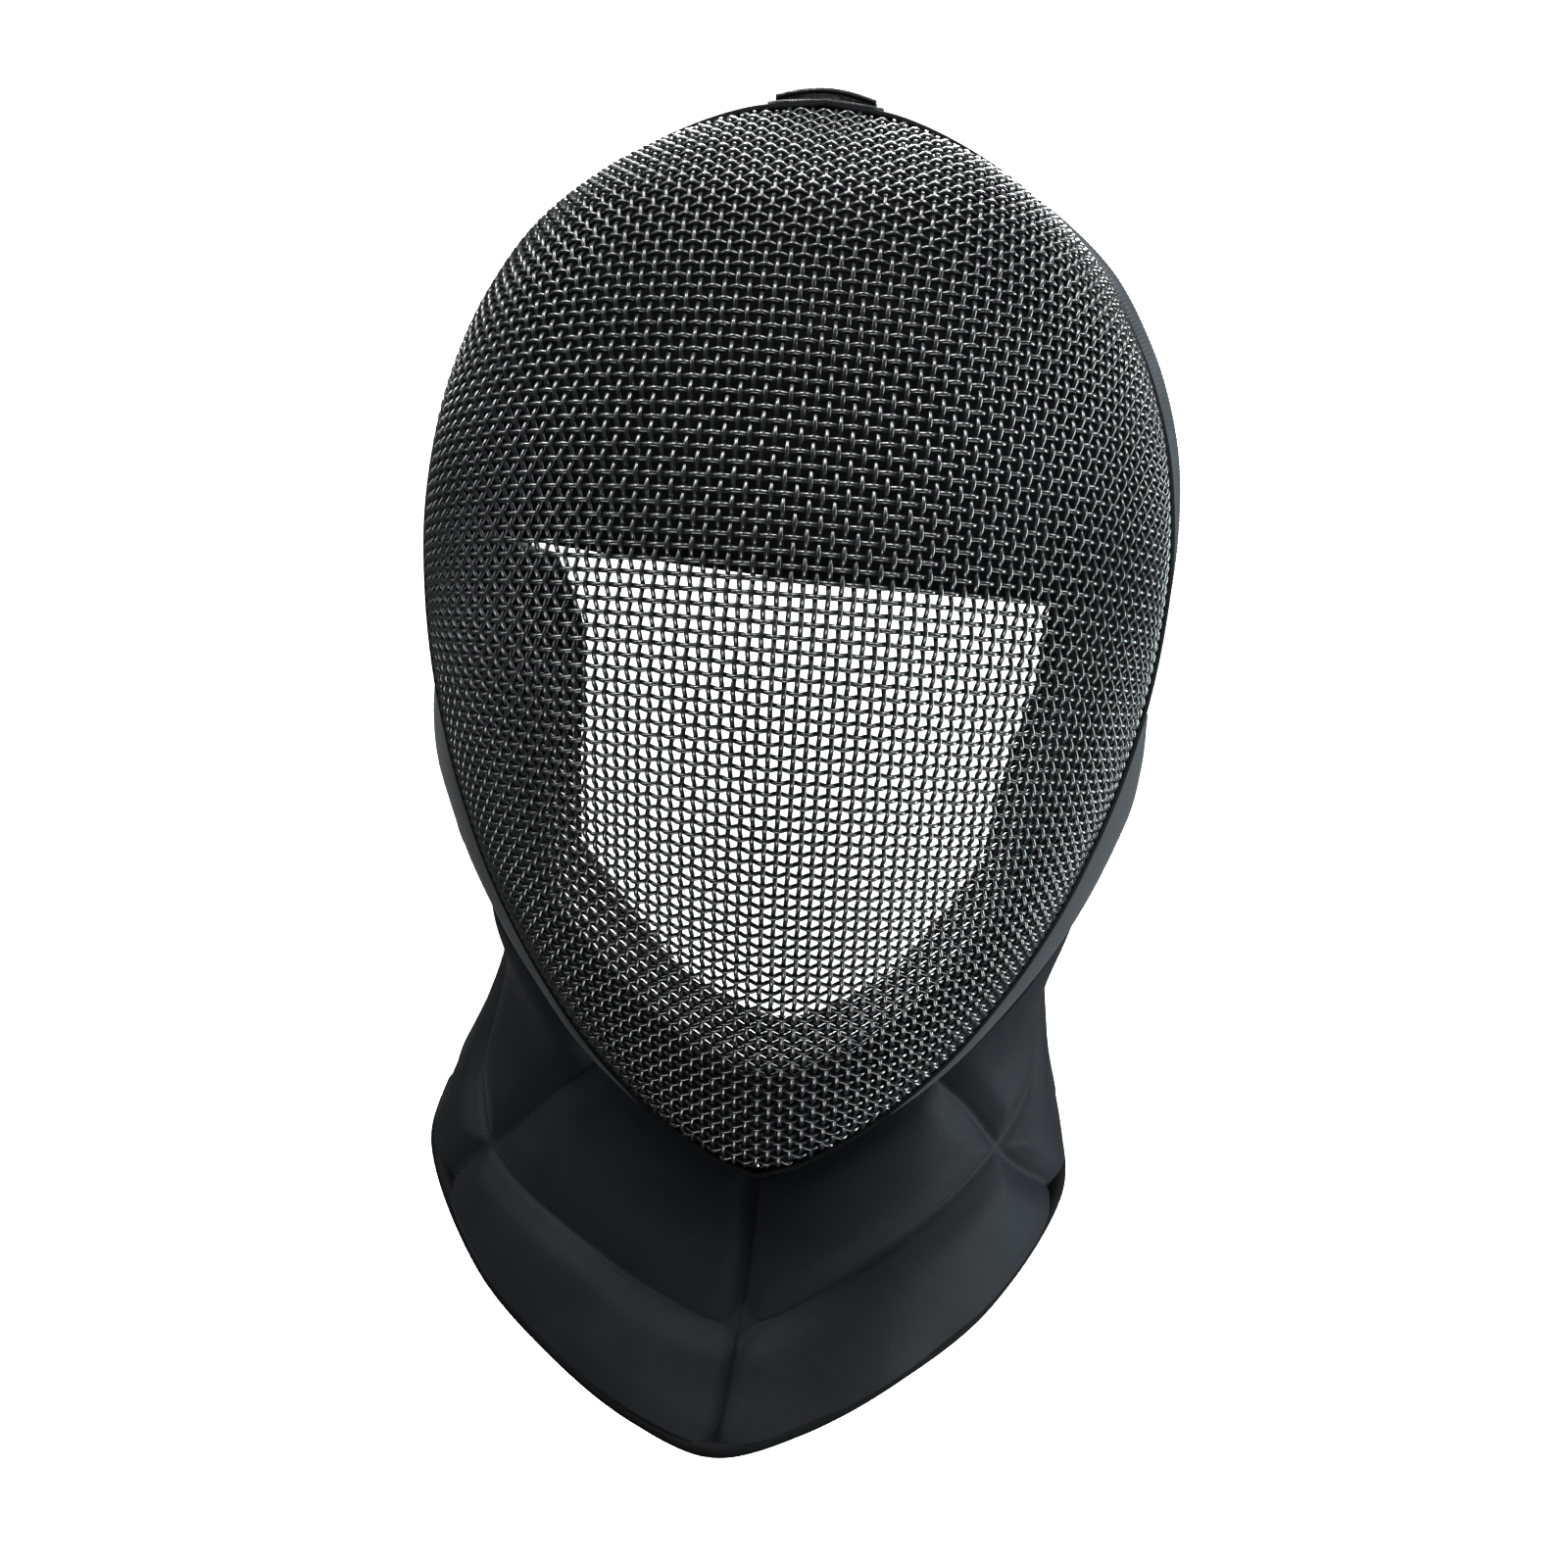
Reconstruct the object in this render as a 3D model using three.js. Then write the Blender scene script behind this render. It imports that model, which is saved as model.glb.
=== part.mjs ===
// Fencing mask: a woven wire dome in a bound rim, a ribbed webbing band round its upper half, a
// padded jaw hem and a quilted bib below it, with the pads that show through the mesh inside.
// Millimetres. +Z is up, the mask faces -Y, and +X is the wearer's left.
// The origin is the seat: the spot inside the crown padding that rests on top of the head.
// Tables and surfaces are measured from the crown, where the rim's centre line meets the top.
import * as THREE from 'three';

// ---- Driving dimensions ----------------------------------------------------------------------
const CROWN_BACK = 14;          // the crown of the rim stands this far behind the seat
const CROWN_UP = 24;            // and this far above it
const RIM_LEAN = 54 / 276;      // the rim plane comes forward this much for each mm it goes down
const MESH_THICKNESS = 2;
const GAP = 0.45;               // air between pieces that touch

const DOME_FULLNESS = 1.25;     // over 1, the dome is flatter in front and steeper at the rim

const PIPING_RADIUS = 0.9;
const PIPING_OUTSIDE = 0.5;     // its centre line stands this far outside the rim
const BAND_FRONT = 2.6;         // distance behind the rim plane where the bands begin
const WEBBING_INSET = -0.4;     // front edges of the bands, outside the rim
const HEM_INSET = 0.4;
const WEBBING_THICKNESS = 2;
const HEM_THICKNESS = 3.4;
const BIB_THICKNESS = 5;
const BINDING_RADIUS = 2.2;
const BIB_DRIFT = -5.5;           // the bib hangs askew: its lower edge is this far over in X
const BIB_END = 0.97;           // share of the bib's height where the panels meet the binding
const FOREHEAD_PAD_THICKNESS = 9;
const SIDE_PAD_THICKNESS = 9;
const SIDE_PAD_INSET = 3.8;     // the cheek pads end this far inside the rim
const SIDE_PAD_BEHIND = 1.6;    // and this far behind its plane
const SIDE_PAD_BOW = 4;
const TONGUE_THICKNESS = 7;

// Stations of the dome from the crown to the chin. Each is one crosswise curve from rim to rim:
// where it crosses the centre ridge, how high it meets the rim, the rim's half width there, and
// how much of its depth belongs to the keel rather than to the round.
const STATIONS = [
  { ridgeY: 0, ridgeZ: 0, rimZ: 0, halfWidth: 0, keel: 0.1 },
  { ridgeY: -5, ridgeZ: -0.8, rimZ: -3, halfWidth: 20, keel: 0.1 },
  { ridgeY: -16, ridgeZ: -3, rimZ: -11, halfWidth: 39.5, keel: 0.1 },
  { ridgeY: -31, ridgeZ: -6.8, rimZ: -22.5, halfWidth: 57, keel: 0.1 },
  { ridgeY: -51, ridgeZ: -13.5, rimZ: -38, halfWidth: 72.8, keel: 0.1 },
  { ridgeY: -70, ridgeZ: -24.5, rimZ: -55, halfWidth: 83.3, keel: 0.1 },
  { ridgeY: -84, ridgeZ: -38, rimZ: -70, halfWidth: 89.7, keel: 0.12 },
  { ridgeY: -95, ridgeZ: -54, rimZ: -86, halfWidth: 93.9, keel: 0.14 },
  { ridgeY: -104, ridgeZ: -74, rimZ: -106, halfWidth: 96, keel: 0.17 },
  { ridgeY: -110, ridgeZ: -95, rimZ: -125, halfWidth: 95.3, keel: 0.2 },
  { ridgeY: -113, ridgeZ: -117, rimZ: -144, halfWidth: 92.8, keel: 0.24 },
  { ridgeY: -111, ridgeZ: -140, rimZ: -163, halfWidth: 88.4, keel: 0.28 },
  { ridgeY: -106, ridgeZ: -164, rimZ: -182, halfWidth: 82.2, keel: 0.32 },
  { ridgeY: -98, ridgeZ: -189, rimZ: -201, halfWidth: 74.2, keel: 0.36 },
  { ridgeY: -87, ridgeZ: -214, rimZ: -221, halfWidth: 63, keel: 0.4 },
  { ridgeY: -75, ridgeZ: -238, rimZ: -241, halfWidth: 48.5, keel: 0.45 },
  { ridgeY: -64, ridgeZ: -259, rimZ: -259, halfWidth: 30.5, keel: 0.5 },
  { ridgeY: -57, ridgeZ: -271, rimZ: -271, halfWidth: 13, keel: 0.5 },
  { ridgeY: -54, ridgeZ: -276, rimZ: -276, halfWidth: 0, keel: 0.5 },
];

// How far the rear edge of the band stands outside the rim, by height on the rim. The cloth sits
// a little askew, so the two sides differ.
const BAND_FLARE = [
  { rimZ: 0, right: -3.5, left: -2.5, depth: 22 },
  { rimZ: -12, right: -3.3, left: 2.5, depth: 22 },
  { rimZ: -40, right: -2, left: 6.5, depth: 22 },
  { rimZ: -80, right: -0.5, left: 6.6, depth: 22 },
  { rimZ: -120, right: 0.5, left: 4.6, depth: 22 },
  { rimZ: -146, right: 3.5, left: 4.6, depth: 22 },
  { rimZ: -160, right: 8.5, left: 8, depth: 22 },
  { rimZ: -174, right: 10.8, left: 10.2, depth: 22 },
  { rimZ: -215, right: 9.6, left: 9, depth: 20 },
  { rimZ: -250, right: 7, left: 6, depth: 14 },
  { rimZ: -276, right: 2.5, left: 2.5, depth: 9 },
];
const HEM_TOP_Z = -148;         // where the webbing gives way to the padded hem

// The bib as upright profiles from the centre seam round to its back edge. Each starts behind the
// hem, so many stations from the chin, and has three lower levels.
const BIB_LEVELS = ['neck', 'mid', 'low'];
const BIB_PROFILES = [
  { fromChin: 0, neckX: 0, neckY: -55, neckZ: -303, midX: 0, midY: -69, midZ: -325, lowX: 0, lowY: -84, lowZ: -346 },
  { fromChin: 1.05, neckX: 21, neckY: -51, neckZ: -296, midX: 23.5, midY: -63, midZ: -319, lowX: 24, lowY: -76, lowZ: -342 },
  { fromChin: 2.28, neckX: 42, neckY: -41, neckZ: -283, midX: 46, midY: -50, midZ: -308, lowX: 48, lowY: -60, lowZ: -334 },
  { fromChin: 3.15, neckX: 59, neckY: -26, neckZ: -266, midX: 66, midY: -30, midZ: -295, lowX: 73, lowY: -34, lowZ: -323 },
  { fromChin: 4.35, neckX: 73, neckY: -8, neckZ: -246, midX: 79.5, midY: -4, midZ: -278, lowX: 91.5, lowY: -1, lowZ: -304 },
  { fromChin: 5.8, neckX: 77.5, neckY: 8, neckZ: -228, midX: 81, midY: 19, midZ: -262, lowX: 90, lowY: 27, lowZ: -291 },
];

// Crosswise curves of the forehead pad, from under the crown to its straight lower edge. Each
// ends beside the rim where the rim is sideZ high, so far inside it and so far behind its plane.
const FOREHEAD_ROWS = [
  { frontY: 12, frontZ: -8.4, sideZ: -9, sideIn: 8.2, sideBack: 14 },
  { frontY: 4, frontZ: -6.4, sideZ: -11, sideIn: 7.2, sideBack: 7 },
  { frontY: -5, frontZ: -5.8, sideZ: -14, sideIn: 6, sideBack: 2 },
  { frontY: -18, frontZ: -11.5, sideZ: -25, sideIn: 5.2, sideBack: 2 },
  { frontY: -34, frontZ: -23, sideZ: -44, sideIn: 5.2, sideBack: 2 },
  { frontY: -47, frontZ: -45, sideZ: -69, sideIn: 4.9, sideBack: 2 },
  { frontY: -56, frontZ: -75, sideZ: -93, sideIn: 4.5, sideBack: 2 },
  { frontY: -61, frontZ: -108, sideZ: -114, sideIn: 3.8, sideBack: 2 },
];
const FOREHEAD_KEEL = 0.1;
const FOREHEAD_TILT = 0.05;     // its lower edge drops this much for each mm towards +X

// The side pads run from the rim in to the edge of the face opening.
const RIGHT_CHEEK_ROWS = [
  { rimZ: -112, innerX: -63, innerY: -52, innerZ: -112.5 },
  { rimZ: -136, innerX: -54, innerY: -54, innerZ: -128 },
  { rimZ: -163, innerX: -53, innerY: -55, innerZ: -158 },
  { rimZ: -195, innerX: -51.5, innerY: -57, innerZ: -183 },
];
const LEFT_CHEEK_ROWS = [
  { rimZ: -121, innerX: 69.5, innerY: -50, innerZ: -118.5 },
  { rimZ: -136, innerX: 67, innerY: -52, innerZ: -134 },
  { rimZ: -163, innerX: 60, innerY: -55, innerZ: -158 },
  { rimZ: -195, innerX: 55.5, innerY: -57, innerZ: -180 },
];

// The chin pad, from the right cheek round to the left, in stations from the chin. Its outer edge
// is inset from the rim, most at the chin itself, where the mesh narrows to a point.
const CHIN_ROWS = [
  { fromChin: -5.2, inset: 3.8, innerX: -51, innerY: -57, innerZ: -187 },
  { fromChin: -4.25, inset: 3.8, innerX: -37, innerY: -58, innerZ: -202 },
  { fromChin: -2.83, inset: 4.4, innerX: -18, innerY: -60, innerZ: -220 },
  { fromChin: 0, inset: 7, innerX: 6, innerY: -61, innerZ: -228 },
  { fromChin: 2.83, inset: 4.4, innerX: 30, innerY: -60, innerZ: -216 },
  { fromChin: 4.25, inset: 3.8, innerX: 44, innerY: -58, innerZ: -200 },
  { fromChin: 5.2, inset: 3.8, innerX: 55, innerY: -57, innerZ: -183 },
];

// Centre line of the outer face of the back tongue, from behind the forehead pad down the back.
const TONGUE_ROWS = [
  { y: 14, z: -9.6, halfWidth: 16 },
  { y: 30, z: -12.5, halfWidth: 16 },
  { y: 50, z: -18, halfWidth: 16 },
  { y: 75, z: -31, halfWidth: 17 },
  { y: 95, z: -52, halfWidth: 19 },
  { y: 106, z: -80, halfWidth: 22 },
  { y: 109, z: -110, halfWidth: 23 },
  { y: 106, z: -136, halfWidth: 20 },
];

// The webbing tab over the crown: a flat lower layer and a narrower fold on top of it.
const TAB_HALF_WIDTH = 15;
const FOLD_HALF_WIDTH = 13;
const TAB_LENGTH = 17;
const TAB_THICKNESS = 1.4;
const TAB_SLOPE = 0.12;         // it drops this much more than the rim's axis per mm back
const CROWN_ARCH = 170;         // it falls away to the sides by x squared over this
const FOLD_RISE = 1.3;

// ---- Curves through tables -------------------------------------------------------------------
// Value of one column at a fractional row, on a Catmull-Rom spline through the rows.
function column(rows, name, at) {
  const last = rows.length - 1;
  const i = Math.min(Math.floor(Math.max(at, 0)), last - 1);
  const f = at - i;
  const p1 = rows[i][name];
  const p2 = rows[i + 1][name];
  const p0 = i > 0 ? rows[i - 1][name] : 2 * p1 - p2;
  const p3 = i + 2 <= last ? rows[i + 2][name] : 2 * p2 - p1;
  const bend = 2 * p0 - 5 * p1 + 4 * p2 - p3;
  const twist = 3 * (p1 - p2) + p3 - p0;
  return p1 + 0.5 * f * (p2 - p0 + f * (bend + f * twist));
}

// Fractional row at which a falling column reaches a value.
function rowAt(rows, name, value) {
  let low = 0;
  let high = rows.length - 1;
  for (let step = 0; step < 40; step += 1) {
    const middle = (low + high) / 2;
    if (column(rows, name, middle) > value) low = middle;
    else high = middle;
  }
  return (low + high) / 2;
}

// ---- Solids from rings -----------------------------------------------------------------------
// Each ring is a section outline with an even number of points, its second half running back
// opposite its first. Open runs of rings are capped with strips between the two halves.
function ringSolid(rings, closed) {
  const count = rings[0].length;
  const positions = rings.flat().flatMap((point) => [point.x, point.y, point.z]);
  const faces = [];
  const spans = closed ? rings.length : rings.length - 1;
  for (let r = 0; r < spans; r += 1) {
    const here = r * count;
    const next = ((r + 1) % rings.length) * count;
    for (let k = 0; k < count; k += 1) {
      const l = (k + 1) % count;
      faces.push(here + k, next + k, next + l, here + k, next + l, here + l);
    }
  }
  if (!closed) {
    const end = (rings.length - 1) * count;
    for (let k = 0; k < count / 2 - 1; k += 1) {
      const back = count - 1 - k;
      faces.push(k, k + 1, back - 1, k, back - 1, back);
      faces.push(end + k, end + back - 1, end + k + 1, end + k, end + back, end + back - 1);
    }
  }
  if (signedVolume(positions, faces) < 0) faces.reverse();
  const geometry = new THREE.BufferGeometry();
  geometry.setAttribute('position', new THREE.Float32BufferAttribute(positions, 3));
  geometry.setIndex(faces);
  geometry.computeVertexNormals();
  return geometry;
}

function signedVolume(positions, faces) {
  const corner = [new THREE.Vector3(), new THREE.Vector3(), new THREE.Vector3()];
  let volume = 0;
  for (let f = 0; f < faces.length; f += 3) {
    corner.forEach((point, k) => point.fromArray(positions, 3 * faces[f + k]));
    volume += corner[0].dot(corner[1].clone().cross(corner[2])) / 6;
  }
  return volume;
}

// A sheet of even thickness below a surface given as surface(u, v), u and v from 0 to 1. Its
// thickness is laid on the side that the flip sign chooses.
function sheetSolid(surface, uSteps, vSteps, thickness, flip = 1) {
  const rings = [];
  const reach = 1e-3;
  for (let i = 0; i <= uSteps; i += 1) {
    const u = i / uSteps;
    const outer = [];
    const inner = [];
    for (let j = 0; j <= vSteps; j += 1) {
      const v = j / vSteps;
      const along = surface(Math.min(u + reach, 1), v).sub(surface(Math.max(u - reach, 0), v));
      const across = surface(u, Math.min(v + reach, 1)).sub(surface(u, Math.max(v - reach, 0)));
      const normal = along.cross(across).normalize().multiplyScalar(flip * thickness);
      const point = surface(u, v);
      outer.push(point);
      inner.unshift(point.clone().add(normal));
    }
    rings.push([...outer, ...inner]);
  }
  return ringSolid(rings, false);
}

// A round cord through a list of points with a fixed direction that its section is set by.
function cordSolid(points, radius, sides) {
  const curve = new THREE.CatmullRomCurve3(points);
  const shape = new THREE.Shape();
  for (let k = 0; k < sides; k += 1) {
    const angle = (2 * Math.PI * (k + 0.5)) / sides;
    shape[k === 0 ? 'moveTo' : 'lineTo'](radius * Math.cos(angle), radius * Math.sin(angle));
  }
  const steps = points.length * 2;
  return new THREE.ExtrudeGeometry(shape, { steps, extrudePath: curve, bevelEnabled: false });
}

// ---- The rim and the dome --------------------------------------------------------------------
const LAST_STATION = STATIONS.length - 1;
const rimBack = new THREE.Vector3(0, 1, -RIM_LEAN).normalize();

function rimPoint(station, side) {
  const z = column(STATIONS, 'rimZ', station);
  return new THREE.Vector3(side * column(STATIONS, 'halfWidth', station), z * RIM_LEAN, z);
}

// Direction in the rim plane that points away from the opening.
function rimOutward(station, side) {
  const reach = 0.02;
  const acrossMiddle = new THREE.Vector3(-1, 1, 1);
  const from = rimPoint(Math.max(station - reach, 0), side);
  const to = rimPoint(Math.min(station + reach, LAST_STATION), side);
  if (station < reach) from.copy(to).multiply(acrossMiddle);
  if (station > LAST_STATION - reach) to.copy(from).multiply(acrossMiddle);
  return to.sub(from).cross(rimBack).multiplyScalar(side).normalize();
}

// Point at a place on the rim, so far outside it and so far behind its plane.
function besideRim(station, side, outside, behind) {
  return rimPoint(station, side)
    .addScaledVector(rimOutward(station, side), outside)
    .addScaledVector(rimBack, behind);
}

// A crosswise curve: sin(angle) runs from rim to rim, rounded in depth with a soft keel.
function crossCurve(angle, front, side, halfWidth, keel, fullness = 1) {
  const keelPower = 1.3;
  const across = Math.sin(angle);
  const share = (1 - keel) * (1 - Math.cos(angle)) ** fullness
    + keel * Math.abs(across) ** keelPower;
  return new THREE.Vector3(
    halfWidth * across,
    front.y + (side.y - front.y) * share,
    front.z + (side.z - front.z) * share,
  );
}

function domePoint(station, angle) {
  const rimZ = column(STATIONS, 'rimZ', station);
  const front = { y: column(STATIONS, 'ridgeY', station), z: column(STATIONS, 'ridgeZ', station) };
  const side = { y: rimZ * RIM_LEAN, z: rimZ };
  const halfWidth = column(STATIONS, 'halfWidth', station);
  return crossCurve(angle, front, side, halfWidth, column(STATIONS, 'keel', station), DOME_FULLNESS);
}

function faceMesh() {
  const endInset = 0.45;        // stations left off at each end, where the curves shrink to a point
  const surface = (u, v) => domePoint(
    endInset + u * (LAST_STATION - 2 * endInset),
    Math.PI * (v - 0.5),
  );
  return sheetSolid(surface, 32, 28, MESH_THICKNESS, -1);
}

// ---- Bands round the rim ---------------------------------------------------------------------
const bandRow = (rimZ) => rowAt(BAND_FLARE, 'rimZ', rimZ);

function flareAt(station, side) {
  const row = bandRow(column(STATIONS, 'rimZ', station));
  return column(BAND_FLARE, side > 0 ? 'left' : 'right', row);
}

function depthAt(station) {
  return column(BAND_FLARE, 'depth', bandRow(column(STATIONS, 'rimZ', station)));
}

function rimPiping() {
  const sides = 6;
  const ringAt = (station, side) => {
    const ring = [];
    for (let k = 0; k < sides; k += 1) {
      const angle = (2 * Math.PI * (k + 0.5)) / sides;
      const outside = PIPING_OUTSIDE + PIPING_RADIUS * Math.cos(angle);
      const behind = GAP + PIPING_RADIUS + PIPING_RADIUS * Math.sin(angle);
      ring.push(besideRim(station, side, outside, behind));
    }
    return ring;
  };
  return ringSolid(rimLoop(2).map(({ station, side }) => ringAt(station, side)), true);
}

// Stations all the way round the rim, down the wearer's left side and up the right.
function rimLoop(perStation) {
  const stops = [];
  const total = LAST_STATION * perStation;
  for (let k = 0; k < total; k += 1) stops.push({ station: k / perStation, side: 1 });
  for (let k = total; k > 0; k -= 1) stops.push({ station: k / perStation, side: -1 });
  return stops;
}

// Section of a band: from just behind the rim to its flared rear edge, a little bowed.
function bandRing(station, side, inset, thickness, bow) {
  const depth = depthAt(station);
  const flare = flareAt(station, side);
  const outer = [];
  const inner = [];
  for (const share of [0, 0.5, 1]) {
    const outside = inset + share * (flare - inset) + bow * 4 * share * (1 - share);
    const behind = BAND_FRONT + share * (depth - BAND_FRONT);
    outer.push(besideRim(station, side, outside, behind));
    inner.unshift(besideRim(station, side, outside - thickness, behind));
  }
  return [...outer, ...inner];
}

const CROWN_SPACING = 0.8;      // under 1, so rings are evenly far apart where stations are short

function webbingBand() {
  const end = rowAt(STATIONS, 'rimZ', HEM_TOP_Z);
  const perSide = 22;
  const rings = [];
  for (let k = -perSide; k <= perSide; k += 1) {
    const station = end * Math.abs(k / perSide) ** CROWN_SPACING;
    rings.push(bandRing(station, k < 0 ? -1 : 1, WEBBING_INSET, WEBBING_THICKNESS, 0));
  }
  return ringSolid(rings, false);
}

// The two halves of a pair meet on the middle plane, so neither crosses it.
function keepToSide(geometry, side, middle = () => 0) {
  const positions = geometry.getAttribute('position');
  for (let k = 0; k < positions.count; k += 1) {
    const x = middle(positions.getZ(k));
    if (side * (positions.getX(k) - x) < GAP / 2) positions.setX(k, x + (side * GAP) / 2);
  }
  return geometry;
}

function jawHem(side) {
  const start = rowAt(STATIONS, 'rimZ', HEM_TOP_Z - GAP);
  const end = LAST_STATION - 0.06;      // just short of the chin, where the other half meets it
  const steps = 20;
  const bow = 1.2;
  const rings = [];
  for (let k = 0; k <= steps; k += 1) {
    const station = start + (end - start) * (k / steps);
    rings.push(bandRing(station, side, HEM_INSET, HEM_THICKNESS, bow));
  }
  return keepToSide(ringSolid(rings, false), side);
}

// ---- Bib -------------------------------------------------------------------------------------
const LAST_PROFILE = BIB_PROFILES.length - 1;

// The profiles of both sides in one run, so that the surface is smooth across the seam.
const mirrorsSign = (name) => name.endsWith('X') || name === 'fromChin';
const mirrored = (row) => Object.fromEntries(
  Object.entries(row).map(([name, value]) => [name, mirrorsSign(name) ? -value : value]),
);
const BIB_RUN = [...BIB_PROFILES.slice(1).reverse().map(mirrored), ...BIB_PROFILES];

// Point of the bib: around runs from the seam to the back edge, down from the hem to the edge.
function bibPoint(around, down, side) {
  const row = LAST_PROFILE + around;
  const station = LAST_STATION - column(BIB_RUN, 'fromChin', row);
  const levels = [besideRim(station, side, flareAt(station, side) - GAP, depthAt(station) + GAP)];
  for (const level of BIB_LEVELS) {
    const [x, y, z] = ['X', 'Y', 'Z'].map((axis) => column(BIB_RUN, level + axis, row));
    levels.push(new THREE.Vector3(side * x, y, z));
  }
  const [x, y, z] = ['x', 'y', 'z'].map((axis) => column(levels, axis, down * BIB_LEVELS.length));
  return new THREE.Vector3(x + BIB_DRIFT * down ** 2, y, z);
}

function bibPanel(side) {
  const surface = (u, v) => bibPoint(u * LAST_PROFILE, BIB_END * v, side);
  const top = bibPoint(0, 0, side).z;
  const low = bibPoint(0, 1, side).z;
  const seamX = (z) => BIB_DRIFT * Math.max((top - z) / (top - low), 0) ** 2;
  return keepToSide(sheetSolid(surface, 14, 8, BIB_THICKNESS, side), side, seamX);
}

// The bound edge is a round cord just below the panels, from one back corner to the other.
function bibBinding() {
  const steps = 9;
  const reach = 0.01;
  const points = [];
  for (let k = -steps; k <= steps; k += 1) {
    const side = k < 0 ? -1 : 1;
    const around = (Math.abs(k) / steps) * LAST_PROFILE;
    const edge = bibPoint(around, BIB_END, side);
    const down = edge.clone().sub(bibPoint(around, BIB_END - reach, side)).normalize();
    const ahead = bibPoint(around + reach, BIB_END, side).sub(edge);
    const inward = ahead.cross(down).multiplyScalar(side).normalize();
    if (k === 0) inward.x = 0;
    edge.addScaledVector(down, BINDING_RADIUS + 2 * GAP).addScaledVector(inward, BIB_THICKNESS / 2);
    points.push(edge);
  }
  return cordSolid(points, BINDING_RADIUS, 8);
}

// ---- Pads ------------------------------------------------------------------------------------
function foreheadPad() {
  const last = FOREHEAD_ROWS.length - 1;
  const surface = (u, v) => {
    const row = u * last;
    const front = {
      y: column(FOREHEAD_ROWS, 'frontY', row),
      z: column(FOREHEAD_ROWS, 'frontZ', row),
    };
    const station = rowAt(STATIONS, 'rimZ', column(FOREHEAD_ROWS, 'sideZ', row));
    const outside = -column(FOREHEAD_ROWS, 'sideIn', row);
    const side = besideRim(station, 1, outside, column(FOREHEAD_ROWS, 'sideBack', row));
    const point = crossCurve(Math.PI * (v - 0.5), front, side, side.x, FOREHEAD_KEEL);
    point.z -= FOREHEAD_TILT * u * point.x;
    return point;
  };
  return sheetSolid(surface, 14, 16, FOREHEAD_PAD_THICKNESS, -1);
}

// Side pads run between an outer edge just inside the rim and the edge of the face opening.
function edgePad(outerAt, innerAt, rows, steps, flip) {
  const last = rows.length - 1;
  const surface = (u, v) => {
    const point = outerAt(u * last).lerp(innerAt(u * last), v);
    point.y -= SIDE_PAD_BOW * 4 * v * (1 - v);
    return point;
  };
  return sheetSolid(surface, steps, 6, SIDE_PAD_THICKNESS, flip);
}

function innerEdge(rows) {
  return (at) => new THREE.Vector3(
    column(rows, 'innerX', at),
    column(rows, 'innerY', at),
    column(rows, 'innerZ', at),
  );
}

function cheekPad(rows, side) {
  const outerAt = (at) => {
    const station = rowAt(STATIONS, 'rimZ', column(rows, 'rimZ', at));
    return besideRim(station, side, -SIDE_PAD_INSET, SIDE_PAD_BEHIND);
  };
  return edgePad(outerAt, innerEdge(rows), rows, 6, side);
}

function chinPad() {
  const outerAt = (at) => {
    const fromChin = column(CHIN_ROWS, 'fromChin', at);
    const station = LAST_STATION - Math.abs(fromChin);
    const inset = column(CHIN_ROWS, 'inset', at);
    return besideRim(station, fromChin < 0 ? -1 : 1, -inset, SIDE_PAD_BEHIND);
  };
  return edgePad(outerAt, innerEdge(CHIN_ROWS), CHIN_ROWS, 14, -1);
}

// ---- Tongue and crown tab --------------------------------------------------------------------
function backTongue() {
  const last = TONGUE_ROWS.length - 1;
  const sag = 1.5;              // its long edges hang this much below its middle
  const surface = (u, v) => {
    const halfWidth = column(TONGUE_ROWS, 'halfWidth', u * last);
    const across = 2 * v - 1;
    return new THREE.Vector3(
      halfWidth * across,
      column(TONGUE_ROWS, 'y', u * last),
      column(TONGUE_ROWS, 'z', u * last) - sag * across ** 2,
    );
  };
  return sheetSolid(surface, 14, 4, TONGUE_THICKNESS, 1);
}

function crownTabLayer(halfWidth, lift, rise) {
  const surface = (u, v) => {
    const x = halfWidth * (2 * u - 1);
    const behind = BAND_FRONT + TAB_LENGTH * v;
    const hump = rise * Math.cos((Math.PI * x) / (2 * halfWidth));
    const drop = (x * x) / CROWN_ARCH + TAB_SLOPE * behind;
    const point = new THREE.Vector3(x, 0, lift + hump - drop);
    return point.addScaledVector(rimBack, behind);
  };
  return sheetSolid(surface, 10, 3, TAB_THICKNESS, -1);
}

// ---- Assembly --------------------------------------------------------------------------------
const finishes = {
  wire: { color: 0x2a2d2f, roughness: 0.35, metalness: 0.6 },
  piping: { color: 0x101113, roughness: 0.5, metalness: 0 },
  webbing: { color: 0x34373b, roughness: 0.8, metalness: 0 },
  hem: { color: 0x3a3d42, roughness: 0.75, metalness: 0 },
  bib: { color: 0x24262c, roughness: 0.7, metalness: 0 },
  padding: { color: 0x17181a, roughness: 0.9, metalness: 0 },
  tab: { color: 0x1b1c1f, roughness: 0.4, metalness: 0 },
};

const mask = new THREE.Group();
const pieces = new THREE.Group();
pieces.position.set(0, CROWN_BACK, CROWN_UP);
mask.add(pieces);

function add(name, geometry, finish) {
  const mesh = new THREE.Mesh(geometry, new THREE.MeshStandardMaterial(finishes[finish]));
  mesh.name = name;
  pieces.add(mesh);
}

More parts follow.
